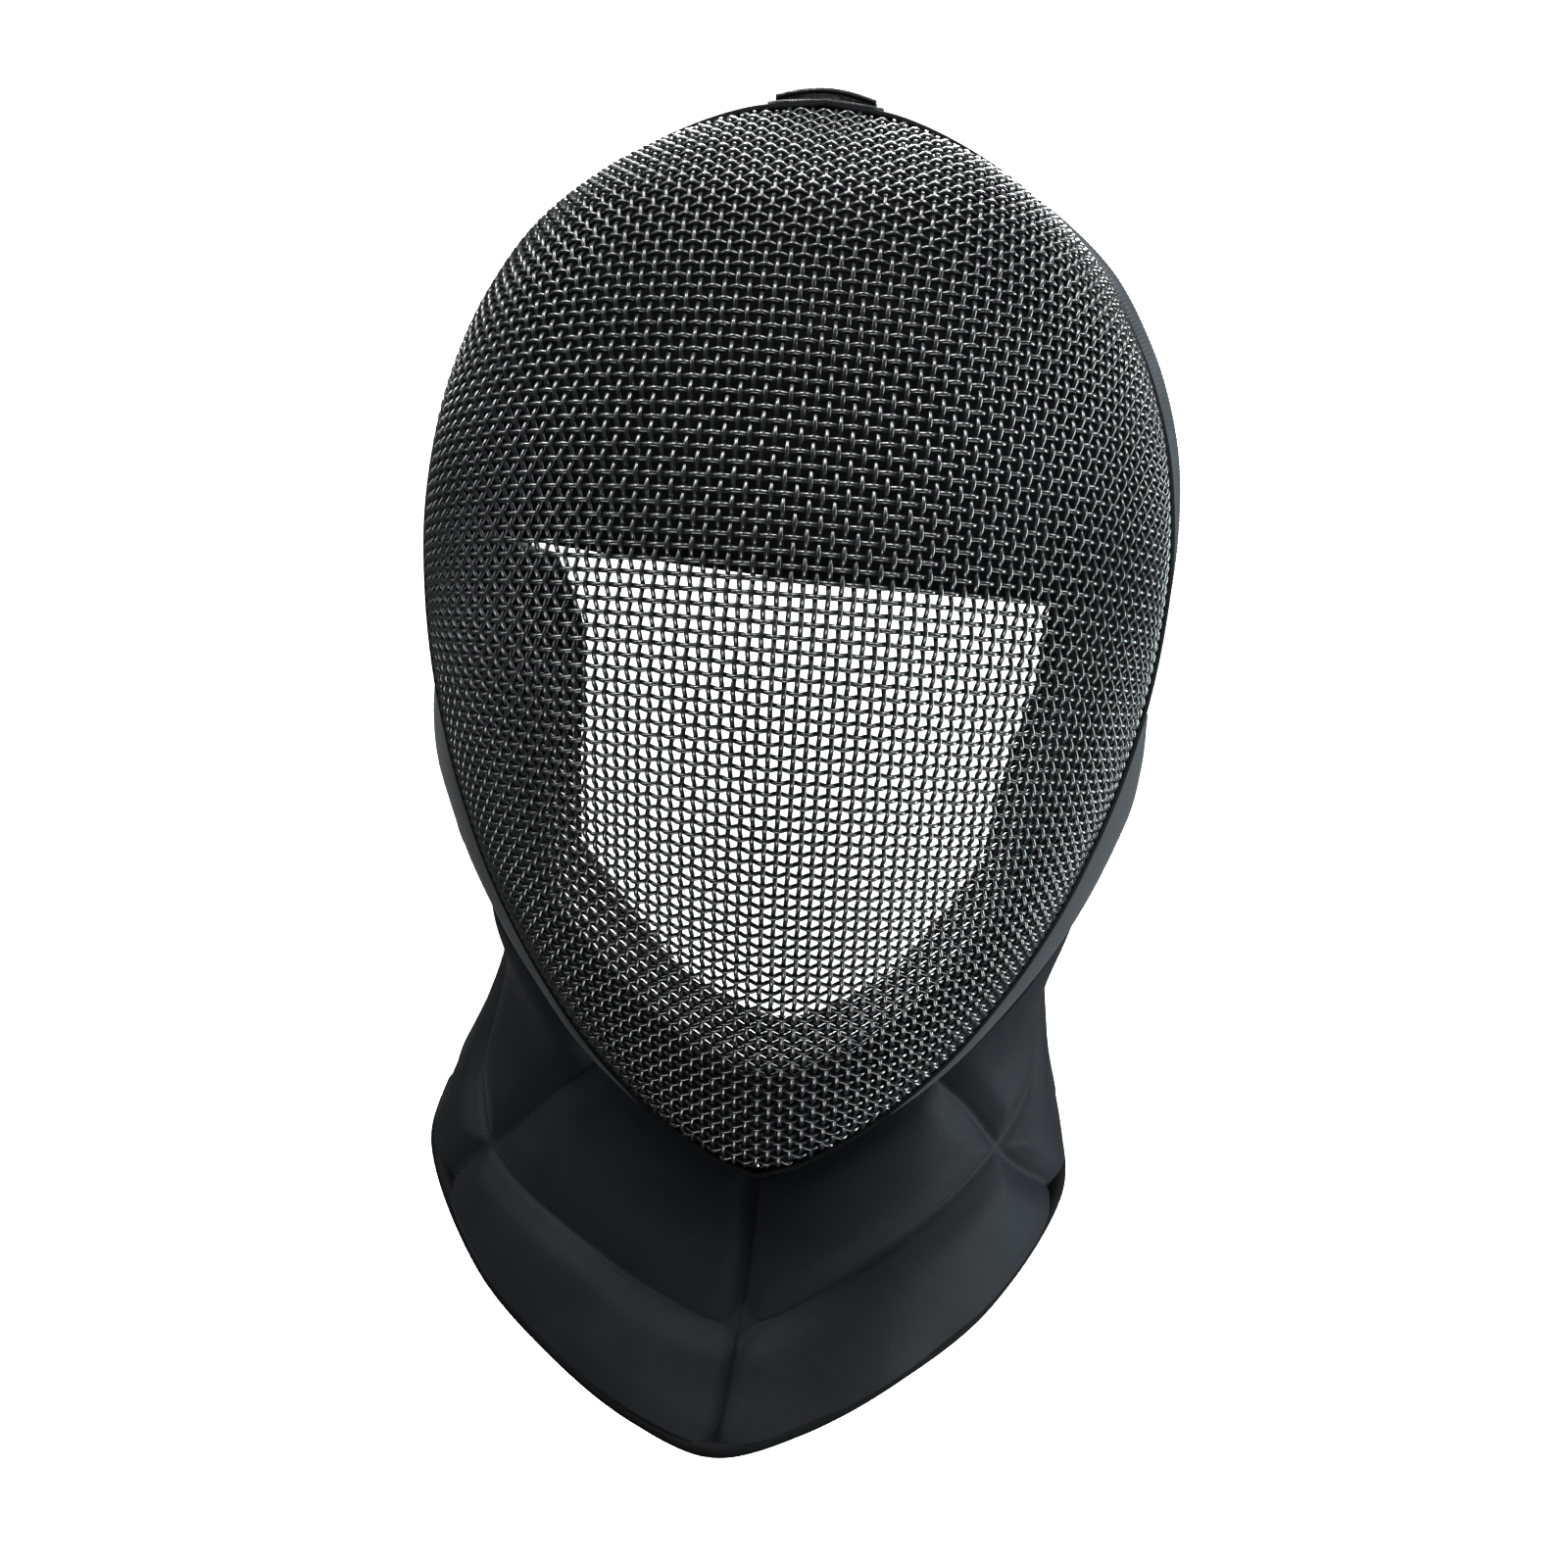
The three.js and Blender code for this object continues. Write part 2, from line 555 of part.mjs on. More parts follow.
const TAB_LIFT = TAB_THICKNESS + 4.5 * GAP;
const FOLD_LIFT = TAB_LIFT + TAB_THICKNESS + GAP;
add('face_mesh', faceMesh(), 'wire');
add('rim_piping', rimPiping(), 'piping');
add('webbing_band', webbingBand(), 'webbing');
add('jaw_hem_left', jawHem(1), 'hem');
add('jaw_hem_right', jawHem(-1), 'hem');
add('bib_left', bibPanel(1), 'bib');
add('bib_right', bibPanel(-1), 'bib');
add('bib_binding', bibBinding(), 'piping');
add('forehead_pad', foreheadPad(), 'padding');
add('cheek_pad_left', cheekPad(LEFT_CHEEK_ROWS, 1), 'padding');
add('cheek_pad_right', cheekPad(RIGHT_CHEEK_ROWS, -1), 'padding');
add('chin_pad', chinPad(), 'padding');
add('back_tongue', backTongue(), 'padding');
add('crown_tab', crownTabLayer(TAB_HALF_WIDTH, TAB_LIFT, 0), 'tab');
add('crown_tab_fold', crownTabLayer(FOLD_HALF_WIDTH, FOLD_LIFT, FOLD_RISE), 'tab');

export default mask;
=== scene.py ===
"""Fencing mask: the visible model and its studio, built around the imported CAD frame.

Tables are in millimetres from the crown of the rim, as in the CAD: +X the wearer's left, -Y the
front, +Z up. place() turns them into metres in the frame.
"""
import math

import bmesh
import bpy
import numpy as np
from mathutils import Matrix, Vector


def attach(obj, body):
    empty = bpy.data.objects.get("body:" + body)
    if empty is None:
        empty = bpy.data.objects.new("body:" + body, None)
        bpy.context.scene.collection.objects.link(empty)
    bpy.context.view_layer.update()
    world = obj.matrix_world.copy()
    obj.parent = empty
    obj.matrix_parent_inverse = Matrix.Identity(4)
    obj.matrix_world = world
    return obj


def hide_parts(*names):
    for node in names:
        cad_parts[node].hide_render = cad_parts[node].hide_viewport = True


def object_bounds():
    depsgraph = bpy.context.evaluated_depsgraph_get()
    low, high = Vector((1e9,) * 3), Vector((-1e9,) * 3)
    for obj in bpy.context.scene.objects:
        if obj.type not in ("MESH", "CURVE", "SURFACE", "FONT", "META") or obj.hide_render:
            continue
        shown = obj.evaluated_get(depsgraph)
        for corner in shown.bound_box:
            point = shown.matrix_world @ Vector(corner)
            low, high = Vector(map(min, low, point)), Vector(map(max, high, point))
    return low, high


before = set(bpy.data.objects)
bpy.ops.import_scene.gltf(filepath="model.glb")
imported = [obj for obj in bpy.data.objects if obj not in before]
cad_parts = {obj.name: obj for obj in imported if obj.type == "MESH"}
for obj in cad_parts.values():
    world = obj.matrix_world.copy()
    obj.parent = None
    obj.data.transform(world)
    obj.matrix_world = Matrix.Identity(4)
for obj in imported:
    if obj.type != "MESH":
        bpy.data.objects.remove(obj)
cad_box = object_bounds()

MM = 0.001
CROWN = np.array([0.0, 14.0, 24.0])     # the crown of the rim, from the seat at the origin
RIM_LEAN = 54 / 276                     # the rim plane comes forward this much per mm down
RIM_BACK = np.array([0, 1, -RIM_LEAN]) / math.hypot(1, RIM_LEAN)

WIRE_PITCH = 3.35                       # from one crosswise wire to the next
WARP_PITCH = 3.0                        # from one upright wire to the next
WIRE_RADIUS = 0.64
WIRE_SIDES = 6
WIRE_STEPS = 4                          # samples from one crossing to the next

# ---- Shape tables, as in the CAD --------------------------------------------------------------
STATION_COLUMNS = ("ridge_y", "ridge_z", "rim_z", "half_width", "keel")
STATIONS = np.array([
    (0, 0, 0, 0, 0.1),
    (-5, -0.8, -3, 20, 0.1),
    (-16, -3, -11, 39.5, 0.1),
    (-31, -6.8, -22.5, 57, 0.1),
    (-51, -13.5, -38, 72.8, 0.1),
    (-70, -24.5, -55, 83.3, 0.1),
    (-84, -38, -70, 89.7, 0.12),
    (-95, -54, -86, 93.9, 0.14),
    (-104, -74, -106, 96, 0.17),
    (-110, -95, -125, 95.3, 0.2),
    (-113, -117, -144, 92.8, 0.24),
    (-111, -140, -163, 88.4, 0.28),
    (-106, -164, -182, 82.2, 0.32),
    (-98, -189, -201, 74.2, 0.36),
    (-87, -214, -221, 63, 0.4),
    (-75, -238, -241, 48.5, 0.45),
    (-64, -259, -259, 30.5, 0.5),
    (-57, -271, -271, 13, 0.5),
    (-54, -276, -276, 0, 0.5),
])
LAST_STATION = len(STATIONS) - 1
DOME_FULLNESS = 1.25                    # over 1, the dome is flatter in front and steeper at the rim

FLARE_COLUMNS = ("rim_z", "right", "left", "depth")
BAND_FLARE = np.array([
    (0, -3.5, -2.5, 22),
    (-12, -3.3, 2.5, 22),
    (-40, -2, 6.5, 22),
    (-80, -0.5, 6.6, 22),
    (-120, 0.5, 4.6, 22),
    (-146, 3.5, 4.6, 22),
    (-160, 8.5, 8, 22),
    (-174, 10.8, 10.2, 22),
    (-215, 9.6, 9, 20),
    (-250, 7, 6, 14),
    (-276, 2.5, 2.5, 9),
])
HEM_TOP_Z = -148
BAND_FRONT = 2.6                        # the webbing and the hem begin this far behind the rim plane
WEBBING_INSET = -0.4                    # the webbing's front edge, outside the rim where positive
HEM_INSET = 0.4                         # the hem's front edge, likewise

BIB_COLUMNS = ("from_chin", "neck_x", "neck_y", "neck_z", "mid_x", "mid_y", "mid_z",
               "low_x", "low_y", "low_z")
BIB_PROFILES = np.array([
    (0, 0, -55, -303, 0, -69, -325, 0, -84, -346),
    (1.05, 21, -51, -296, 23.5, -63, -319, 24, -76, -342),
    (2.28, 42, -41, -283, 46, -50, -308, 48, -60, -334),
    (3.15, 59, -26, -266, 66, -30, -295, 73, -34, -323),
    (4.35, 73, -8, -246, 79.5, -4, -278, 91.5, -1, -304),
    (5.8, 77.5, 8, -228, 81, 19, -262, 90, 27, -291),
])
BIB_DRIFT = -5.5                        # the lower edge hangs this far to one side
GAP = 0.4                               # from the hem to the top of the bib


# ---- Curves and surfaces ------------------------------------------------------------------------
def spline(rows, at):
    """All columns of a table at fractional rows, on a Catmull-Rom spline through the rows."""
    at = np.asarray(at, float)
    last = len(rows) - 1
    i = np.clip(np.floor(at).astype(int), 0, last - 1)
    f = (at - i)[..., None]
    padded = np.vstack([2 * rows[0] - rows[1], rows, 2 * rows[-1] - rows[-2]])
    p0, p1, p2, p3 = (padded[i + k] for k in range(4))
    bend = 2 * p0 - 5 * p1 + 4 * p2 - p3
    twist = 3 * (p1 - p2) + p3 - p0
    return p1 + 0.5 * f * (p2 - p0 + f * (bend + f * twist))


def station_values(at):
    return dict(zip(STATION_COLUMNS, np.moveaxis(spline(STATIONS, at), -1, 0)))


def cross_curve(angle, front_y, front_z, side_y, side_z, half_width, keel, fullness=1.0):
    """Crosswise curve from rim to rim: sin(angle) runs across, rounded in depth, with a keel."""
    across = np.sin(angle)
    share = (1 - keel) * (1 - np.cos(angle)) ** fullness + keel * np.abs(across) ** 1.3
    return np.stack(np.broadcast_arrays(
        half_width * across,
        front_y + (side_y - front_y) * share,
        front_z + (side_z - front_z) * share,
    ), -1)


def dome(station, angle):
    v = station_values(station)
    return cross_curve(angle, v["ridge_y"], v["ridge_z"], v["rim_z"] * RIM_LEAN, v["rim_z"],
                       v["half_width"], v["keel"], DOME_FULLNESS)


def unit(vectors):
    return vectors / np.maximum(np.linalg.norm(vectors, axis=-1, keepdims=True), 1e-12)


def dome_normal(station, angle):
    """Outward unit normal of the dome."""
    step = 1e-3
    along = dome(np.clip(station + step, 0, LAST_STATION), angle) \
        - dome(np.clip(station - step, 0, LAST_STATION), angle)
    across = dome(station, angle + step) - dome(station, angle - step)
    return unit(np.cross(along, across))


RIM_STATIONS = np.linspace(0, LAST_STATION, 1801)
RIM_HEIGHTS = station_values(RIM_STATIONS)["rim_z"]


def rim_point(station, side):
    v = station_values(station)
    return np.stack(np.broadcast_arrays(side * v["half_width"], v["rim_z"] * RIM_LEAN, v["rim_z"]), -1)


def rim_outward(station, side):
    """Unit direction in the rim plane that points away from the opening."""
    station = np.asarray(station, float)
    step = 0.02
    before = rim_point(np.maximum(station - step, 0), side)
    after = rim_point(np.minimum(station + step, LAST_STATION), side)
    mirror = np.array([-1, 1, 1])       # across the middle plane at the crown and at the chin
    before = np.where((station < step)[..., None], after * mirror, before)
    after = np.where((station > LAST_STATION - step)[..., None], before * mirror, after)
    return unit(np.cross(after - before, RIM_BACK) * np.asarray(side)[..., None])


def beside_rim(station, side, outside, behind):
    """Point so far outside the rim and so far behind its plane."""
    outside, behind = np.asarray(outside)[..., None], np.asarray(behind)[..., None]
    return rim_point(station, side) + rim_outward(station, side) * outside + RIM_BACK * behind


def place(points):
    """Table millimetres to frame metres."""
    return (np.asarray(points) + CROWN) * MM


def station_of_rim(z):
    """Station at which the rim reaches a height."""
    return np.interp(-np.asarray(z, float), -RIM_HEIGHTS, RIM_STATIONS)


# ---- Meshes -------------------------------------------------------------------------------------
def make_mesh(name, vertices, faces, material, smooth=True):
    mesh = bpy.data.meshes.new(name)
    mesh.from_pydata(np.asarray(vertices, float).tolist(), [], faces)
    mesh.validate()
    if smooth:
        mesh.shade_smooth()
    else:
        mesh.shade_flat()
    mesh.materials.append(material)
    piece = bpy.data.objects.new(name, mesh)
    bpy.context.scene.collection.objects.link(piece)
    return piece


def face_outward(piece):
    """Turns a closed piece's faces outward."""
    bm = bmesh.new()
    bm.from_mesh(piece.data)
    bmesh.ops.recalc_face_normals(bm, faces=bm.faces)
    bm.to_mesh(piece.data)
    bm.free()


def ring_faces(ring_count, side_count, start=0, closed=False):
    """Quads between successive rings of vertices, as an (n, 4) array."""
    spans = ring_count if closed else ring_count - 1
    r = np.arange(spans)[:, None]
    k = np.arange(side_count)[None, :]
    here = start + (r % ring_count) * side_count
    following = start + ((r + 1) % ring_count) * side_count
    after = (k + 1) % side_count
    return np.stack([here + k, following + k, following + after, here + after], -1).reshape(-1, 4)


def tube_rings(points, normals, radius, sides):
    """Rings of a round tube along points, its section set by normals to one side."""
    tangents = unit(np.gradient(points, axis=0))
    sideways = unit(np.cross(tangents, normals))
    upright = np.cross(sideways, tangents)
    angle = 2 * np.pi * (np.arange(sides) + 0.5) / sides
    ring = (np.cos(angle)[:, None] * upright[:, None] + np.sin(angle)[:, None] * sideways[:, None])
    return points[:, None] + radius * ring


def join_tubes(runs, radius, sides):
    """Vertices and faces of many capped tubes; each run is (points, normals)."""
    vertices, faces, start = [], [], 0
    for points, normals in runs:
        rings = tube_rings(points, normals, radius, sides)
        vertices.append(rings.reshape(-1, 3))
        faces.extend(ring_faces(len(points), sides, start).tolist())
        faces.append(list(range(start, start + sides)))
        end = start + (len(points) - 1) * sides
        faces.append(list(range(end + sides - 1, end - 1, -1)))
        start = end + sides
    return np.vstack(vertices), faces


def closed_sheet(outer, inner):
    """Vertices and faces of a solid between two grids of points of one shape."""
    rows, columns = outer.shape[:2]
    rings = np.concatenate([outer, inner[:, ::-1]], 1)
    faces = ring_faces(rows, 2 * columns).tolist()
    for start in (0, (rows - 1) * 2 * columns):
        for k in range(columns - 1):
            back = 2 * columns - 1 - k
            faces.append([start + k, start + k + 1, start + back - 1, start + back])
    return rings.reshape(-1, 3), faces


# ---- Materials ----------------------------------------------------------------------------------
class Nodes:
    """Small helper that adds and links shader nodes."""

    def __init__(self, name):
        self.material = bpy.data.materials.new(name)
        self.material.use_nodes = True
        self.tree = self.material.node_tree
        self.shader = self.tree.nodes["Principled BSDF"]

    def add(self, kind, inputs=None, **settings):
        node = self.tree.nodes.new(kind)
        for key, value in settings.items():
            setattr(node, key, value)
        for key, value in (inputs or {}).items():
            if isinstance(value, bpy.types.NodeSocket):
                self.tree.links.new(value, node.inputs[key])
            else:
                node.inputs[key].default_value = value
        return node

    def coordinates(self):
        return self.add("ShaderNodeTexCoord").outputs["Object"]

    def noise(self, size, detail=3.0, roughness=0.5):
        """Noise whose features are about this many millimetres."""
        return self.add("ShaderNodeTexNoise", {
            "Vector": self.coordinates(), "Scale": 1 / (size * MM), "Detail": detail,
            "Roughness": roughness}).outputs["Fac"]

    def ramp(self, factor, stops):
        node = self.add("ShaderNodeValToRGB", {"Fac": factor})
        elements = node.color_ramp.elements
        elements[0].position, elements[0].color = stops[0][0], (*stops[0][1], 1)
        elements[1].position, elements[1].color = stops[-1][0], (*stops[-1][1], 1)
        for position, colour in stops[1:-1]:
            elements.new(position).color = (*colour, 1)
        return node.outputs["Color"]

    def math(self, operation, a, b):
        return self.add("ShaderNodeMath", {0: a, 1: b}, operation=operation).outputs[0]

    def spread(self, factor, low, high):
        """A 0 to 1 factor brought into a range."""
        node = self.add("ShaderNodeMapRange", {"Value": factor, "To Min": low, "To Max": high})
        return node.outputs[0]

    def bump(self, height, distance, strength=1.0, normal=None):
        inputs = {"Height": height, "Distance": distance * MM, "Strength": strength}
        if normal is not None:
            inputs["Normal"] = normal
        return self.add("ShaderNodeBump", inputs).outputs["Normal"]

    def link(self, output, socket):
        self.tree.links.new(output, self.shader.inputs[socket])

    def set(self, **values):
        for key, value in values.items():
            self.shader.inputs[key.replace("_", " ")].default_value = value


def wire_paint():
    n = Nodes("wire_paint")
    blotch = n.noise(9, 4)
    fine = n.noise(1.6, 2)
    colour = n.ramp(blotch, [(0.35, (0.004, 0.0044, 0.0047)), (0.7, (0.009, 0.0098, 0.0104))])
    n.link(colour, "Base Color")
    n.link(n.spread(fine, 0.3, 0.4), "Roughness")
    n.link(n.bump(fine, 0.02, 0.4), "Normal")
    n.set(IOR=1.6, Coat_Weight=0.7, Coat_Roughness=0.2)
    return n.material


CLOTH_MOTTLE = 14                       # size of the cloth's lighter and darker patches


def cloth(name, dark, light, thread, roughness, sheen, specular=0.35, weave=0.08):
    """Woven cloth: mottled colour, thread-scale weave and a soft sheen."""
    n = Nodes(name)
    n.link(n.ramp(n.noise(CLOTH_MOTTLE, 5), [(0.3, dark), (0.72, light)]), "Base Color")
    grain = n.noise(thread * 1.6, 2)
    n.link(n.spread(grain, roughness - 0.08, roughness + 0.08), "Roughness")
    threads = n.add("ShaderNodeTexVoronoi", {"Vector": n.coordinates(), "Scale": 1 / (thread * MM),
                                             "Randomness": 0.35})
    height = n.math("ADD", threads.outputs["Distance"], n.math("MULTIPLY", grain, 0.7))
    n.link(n.bump(height, weave, 0.9), "Normal")
    n.set(Sheen_Weight=sheen, Sheen_Roughness=0.45, Specular_IOR_Level=specular)
    return n.material


wire_material = wire_paint()
piping_material = cloth(
    "piping_cloth", dark=(0.002, 0.002, 0.0024), light=(0.004, 0.004, 0.0046),
    thread=0.5, roughness=0.7, sheen=0.0, specular=0.05)
webbing_material = cloth(
    "webbing_cloth", dark=(0.022, 0.0245, 0.028), light=(0.034, 0.037, 0.042),
    thread=0.45, roughness=0.75, sheen=0.05, specular=0.2)
hem_material = cloth(
    "hem_cloth", dark=(0.012, 0.0135, 0.016), light=(0.018, 0.02, 0.023),
    thread=0.35, roughness=0.72, sheen=0.08, specular=0.2)
bib_material = cloth(
    "bib_cloth", dark=(0.0042, 0.0046, 0.0061), light=(0.0058, 0.0063, 0.0082),
    thread=0.4, roughness=0.6, sheen=0.02, specular=0.09)
padding_material = cloth(
    "padding_cloth", dark=(0.0025, 0.0025, 0.003), light=(0.006, 0.006, 0.0065),
    thread=0.9, roughness=0.9, sheen=0.01, specular=0.1)
thread_material = cloth(
    "thread", dark=(0.004, 0.004, 0.005), light=(0.007, 0.007, 0.009),
    thread=0.3, roughness=0.6, sheen=0.0, specular=0.1)
tab_material = cloth(
    "tab_webbing", dark=(0.004, 0.004, 0.005), light=(0.011, 0.011, 0.012),
    thread=0.8, roughness=0.35, sheen=0.1, weave=0.15)


def finish_piece(piece, slot, *nodes, padded=None):
    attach(piece, "root")
    if nodes:
        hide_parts(*nodes)


# ---- Woven wire face ----------------------------------------------------------------------------
WARP_COUNT = 56                         # more than reach the rim on either side of the middle
FIRST_WEFT = 0.7                        # pitches from the crown to the first crosswise wire
RIDGE_STATIONS = np.linspace(0, LAST_STATION, 3601)
ridge_points = dome(RIDGE_STATIONS, 0.0)
ridge_lengths = np.concatenate([[0], np.cumsum(np.linalg.norm(np.diff(ridge_points, axis=0), axis=1))])


def weave_grid(rows_at, columns_at):
    """Stations, angles and half lengths where crosswise curves reach distances from the ridge."""
    stations = np.interp(rows_at, ridge_lengths, RIDGE_STATIONS)
    angles = np.linspace(0, np.pi / 2, 361)
    curves = dome(stations[:, None], angles[None, :])
    lengths = np.linalg.norm(np.diff(curves, axis=1), axis=-1).cumsum(1)
    lengths = np.concatenate([np.zeros((len(stations), 1)), lengths], 1)
    found = np.array([np.interp(columns_at, row, angles) for row in lengths])
    return stations, found, lengths[:, -1]


def crimped(points, normals, phase):
    return points + normals * (WIRE_RADIUS * np.asarray(phase))[:, None]


def weft_wires():
    """Crosswise wires, one at each pitch down the ridge, each crimped over and under."""
    rows = np.arange(FIRST_WEFT, ridge_lengths[-1] / WIRE_PITCH - 0.4)
    reach = np.arange(0, WARP_COUNT * WIRE_STEPS) / WIRE_STEPS
    stations, angles, half = weave_grid(rows * WIRE_PITCH, reach * WARP_PITCH)
    runs = []
    for k, station in enumerate(stations):
        inside = reach * WARP_PITCH < half[k] - 0.2
        if inside.sum() < 2:
            continue
        at = np.append(reach[inside], half[k] / WARP_PITCH)
        angle = np.append(angles[k][inside], np.pi / 2)
        at = np.concatenate([-at[:0:-1], at])
        angle = np.concatenate([-angle[:0:-1], angle])
        normals = dome_normal(np.full(angle.shape, station), angle)
        phase = np.cos(np.pi * at) * (-1) ** k
        runs.append((crimped(dome(np.full(angle.shape, station), angle), normals, phase), normals))
    return runs


def warp_wires():
    """Wires from crown to chin, a pitch apart across, crimped opposite to the weft."""
    rows = np.arange(0, (ridge_lengths[-1] / WIRE_PITCH - 1.2) * WIRE_STEPS) / WIRE_STEPS
    columns = np.arange(0, WARP_COUNT)
    stations, angles, half = weave_grid((FIRST_WEFT + rows) * WIRE_PITCH, columns * WARP_PITCH)
    dense_rows = np.linspace(0, ridge_lengths[-1], 1401)
    _, _, dense_half = weave_grid(dense_rows, np.array([0.0]))
    runs = {1: [], -1: []}
    for i in columns:
        inside = half > i * WARP_PITCH + 0.1
        if inside.sum() < 3:
            continue
        at = rows[inside]
        angle = angles[inside, i]
        station = stations[inside]
        over = dense_half > i * WARP_PITCH
        limits = dense_rows[over][[0, -1]]
        ends = np.interp(limits, ridge_lengths, RIDGE_STATIONS)
        if i > 0:
            at_ends = limits / WIRE_PITCH - FIRST_WEFT
            at = np.concatenate([at_ends[:1], at, at_ends[1:]])
            angle = np.concatenate([[np.pi / 2], angle, [np.pi / 2]])
            station = np.concatenate([[ends[0]], station, [ends[1]]])
        for side in (1, -1) if i else (1,):
            normals = dome_normal(station, side * angle)
            phase = -np.cos(np.pi * at) * (-1) ** i
            runs[side].append((crimped(dome(station, side * angle), normals, phase), normals))
    return runs


def build_wires():
    weft = weft_wires()
    warp = warp_wires()
    split = int(len(weft) * 0.45)
    groups = {
        "mesh_weft_upper": weft[:split],
        "mesh_weft_lower": weft[split:],
        "mesh_warp_left": warp[1],
        "mesh_warp_right": warp[-1],
    }
    for name, runs in groups.items():
        vertices, faces = join_tubes(runs, WIRE_RADIUS, WIRE_SIDES)
        piece = make_mesh(name, place(vertices), faces, wire_material)
        finish_piece(piece, "wire", "face_mesh")


build_wires()


# ---- Rim ----------------------------------------------------------------------------------------
def rim_loop(per_side):
    """Stations and sides all the way round, down the left and up the right, evenly along it."""
    dense = np.linspace(0, LAST_STATION, 2001)
    points = rim_point(dense, 1)
    lengths = np.concatenate([[0], np.cumsum(np.linalg.norm(np.diff(points, axis=0), axis=1))])
    down = np.interp(np.linspace(0, lengths[-1], per_side + 1), lengths, dense)
    stations = np.concatenate([down[:-1], down[:0:-1]])
    sides = np.concatenate([np.ones(per_side), -np.ones(per_side)])
    return stations, sides


def rim_piping():
    """A soft oval bead that wraps the edge of the mesh."""
    stations, sides = rim_loop(220)
    angle = 2 * np.pi * np.arange(12) / 12
    outside = 1.3 + 1.3 * np.cos(angle)
    behind = 0.3 + 1.7 * np.sin(angle)
    rings = beside_rim(stations[:, None], sides[:, None], outside[None], behind[None])
    faces = ring_faces(len(stations), len(angle), closed=True).tolist()
    piece = make_mesh("rim_bead", place(rings.reshape(-1, 3)), faces, piping_material)
    face_outward(piece)
    finish_piece(piece, "piping", "rim_piping")


rim_piping()


def band_values(stations):
    z = station_values(stations)["rim_z"]
    rows = np.interp(-z, -BAND_FLARE[:, 0], np.arange(len(BAND_FLARE)))
    return dict(zip(FLARE_COLUMNS, np.moveaxis(spline(BAND_FLARE, rows), -1, 0)))


def band_surface(stations, sides, share, inset, bow, lift=0.0):
    """Points of a band: share 0 at its front edge, 1 at its flared rear edge."""
    v = band_values(stations)
    flare = np.where(sides > 0, v["left"], v["right"])
    outside = inset + share * (flare - inset) + bow * 4 * share * (1 - share) + lift
    behind = BAND_FRONT + share * (v["depth"] - BAND_FRONT)
    return beside_rim(stations, sides, outside, behind)


def webbing_band():
    """Grosgrain: fine ribs across the band, between two woven selvedges."""
    end = station_of_rim(HEM_TOP_Z)
    dense = np.linspace(0, end, 1201)
    points = rim_point(dense, 1)
    lengths = np.concatenate([[0], np.cumsum(np.linalg.norm(np.diff(points, axis=0), axis=1))])
    rib = 1.15
    per_rib = 3
    count = int(lengths[-1] / rib) * per_rib
    half = np.interp(np.linspace(0, lengths[-1], count + 1), lengths, dense)
    stations = np.concatenate([half[:0:-1], half])
    sides = np.concatenate([-np.ones(count), np.ones(count + 1)])
    ribs = 0.22 * np.cos(2 * np.pi * np.arange(len(stations)) / per_rib)
    share = np.array([0, 0.03, 0.07, 0.1, 0.3, 0.5, 0.7, 0.9, 0.93, 0.97, 1])
    edge = np.array([-0.5, -0.1, 0, -0.35, 0, 0, 0, -0.35, 0, -0.1, -0.5])
    ribbed = np.array([0, 0.4, 0.4, 0.2, 1, 1, 1, 0.2, 0.4, 0.4, 0])
    lift = edge[None] + ribs[:, None] * ribbed[None]
    outer = band_surface(stations[:, None], sides[:, None], share[None], WEBBING_INSET, 0.0, lift)
    inner = band_surface(stations[:, None], sides[:, None], share[None], WEBBING_INSET, 0.0,
                         -1.6 - edge[None] * 0.5 - ribs[:, None] * ribbed[None])
    vertices, faces = closed_sheet(outer, inner)
    piece = make_mesh("webbing", place(vertices), faces, webbing_material)
    face_outward(piece)
    finish_piece(piece, "webbing", "webbing_band")


webbing_band()


# ---- Jaw hem ------------------------------------------------------------------------------------
def ripple(points, wavelength, seed):
    """Smooth irregular values about -1 to 1 from a few crossed waves through space."""
    rng = np.random.default_rng(seed)
    total = np.zeros(points.shape[:-1])
    waves = 7
    for _ in range(waves):
        direction = unit(rng.normal(size=3))
        length = wavelength * rng.uniform(0.7, 1.6)
        total += np.sin(points @ direction * (2 * np.pi / length) + rng.uniform(0, 2 * np.pi))
    return total / math.sqrt(waves)


HEM_BOW = 1.2                           # the hem swells this much between its edges
HEM_STITCH = 0.16                       # share of its width at which a line of stitching sinks in


def jaw_hem(side, name, node):
    start = station_of_rim(HEM_TOP_Z) + 0.02
    end = LAST_STATION - 0.05
    along = np.linspace(0, 1, 161)
    stations = (start + (end - start) * along)[:, None]
    share = np.linspace(0, 1, 25)[None]
    sides = np.full_like(stations, side)
    close = np.minimum(along / 0.04, 1)[:, None] ** 0.5
    rounded = np.sqrt(np.clip(1 - (2 * share - 1) ** 6, 0, 1))
    outer = band_surface(stations, sides, share, HEM_INSET, HEM_BOW)
    puff = 0.9 * ripple(outer, 26, 3) * np.sin(np.pi * share) * close
    seam = 0.9 * np.exp(-((share - HEM_STITCH) * 20 / 1.1) ** 2)
    lift = 1.5 * (rounded - 1) + 0.35 * puff - seam
    outer = band_surface(stations, sides, share, HEM_INSET, HEM_BOW, lift)
    inner = band_surface(stations, sides, share, HEM_INSET, HEM_BOW, -1.7 - 1.5 * rounded)
    vertices, faces = closed_sheet(outer, inner)
    vertices[:, 0] = side * np.maximum(vertices[:, 0] * side, 0.15)
    piece = make_mesh(name, place(vertices), faces, hem_material)
    face_outward(piece)
    finish_piece(piece, "hem", node, padded=0.5)


jaw_hem(1, "hem_left", "jaw_hem_left")
jaw_hem(-1, "hem_right", "jaw_hem_right")


